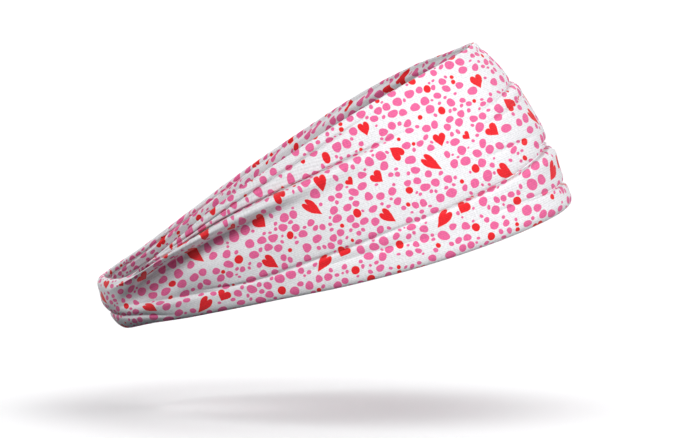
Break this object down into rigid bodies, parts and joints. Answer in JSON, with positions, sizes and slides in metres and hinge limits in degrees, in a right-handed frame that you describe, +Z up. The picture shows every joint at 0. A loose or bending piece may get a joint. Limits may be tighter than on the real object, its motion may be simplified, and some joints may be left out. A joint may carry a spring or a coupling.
{
  "type": "heart headband",
  "caption": "Wide stretch-knit loop worn round the head, high over the forehead and gathered narrow at the nape, printed with small hearts and dots.",
  "frame": {"origin": "the middle of the head's opening, where the band sits on a head", "axes": "+X towards the forehead, -Y towards the wearer's right, +Z up"},
  "size_m": [0.2034, 0.1506, 0.1232],
  "materials": {
    "printed_knit": "matt white stretch knit printed with red hearts and pink and red dots"
  },
  "bodies": {
    "root": {"band": "printed_knit"}
  },
  "joints": []
}
